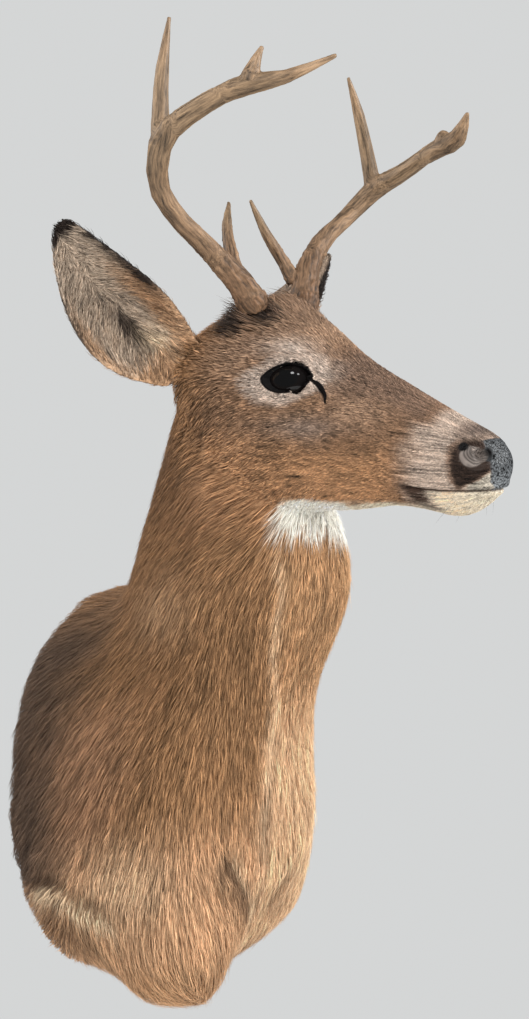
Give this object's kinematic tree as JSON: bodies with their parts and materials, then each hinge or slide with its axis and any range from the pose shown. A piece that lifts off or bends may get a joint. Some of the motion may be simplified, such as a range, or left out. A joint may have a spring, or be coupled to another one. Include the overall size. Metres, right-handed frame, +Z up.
{
  "type": "deer shoulder mount",
  "caption": "Life-size white-tailed buck shoulder mount with head turned to its left, antlers, glass eyes and short brown coat, on a wooden back board that hangs flat on a wall.",
  "frame": {"origin": "on the back board's wall face, midway between the hanger and the brisket", "axes": "+Z up the wall; +Y into the wall, so the animal looks out along -Y; +X towards the animal's left"},
  "size_m": [0.3946, 0.539, 0.8683],
  "materials": {
    "hide": "short lying hair, grey-brown on the head and back, warm brown on the neck, white at the throat and chin",
    "antler": "bone, matt brown and grained, paler and polished at the tips",
    "glass_eye": "near-black glass, polished",
    "nose": "pebbled dark grey skin with a wet gloss",
    "board": "plain sanded plywood",
    "hanger": "zinc-plated sheet"
  },
  "bodies": {
    "root": {"antler_left_base": "antler", "antler_left_beam": "antler", "antler_left_brow_tine": "antler", "antler_left_second_tine": "antler", "antler_left_third_tine": "antler", "antler_left_tip": "antler", "antler_left_upper_beam": "antler", "antler_right_base": "antler", "antler_right_beam": "antler", "antler_right_brow_tine": "antler", "antler_right_second_tine": "antler", "antler_right_third_tine": "antler", "antler_right_tip": "antler", "antler_right_upper_beam": "antler", "back_board": "board", "ear_left": "hide", "ear_right": "hide", "eye_left": "glass_eye", "eye_right": "glass_eye", "foreleg_left": "hide", "foreleg_right": "hide", "hanger_plate": "hanger", "head": "hide", "jaw": "hide", "neck_lower": "hide", "neck_upper": "hide", "nose": "nose", "trunk": "hide"}
  },
  "joints": []
}
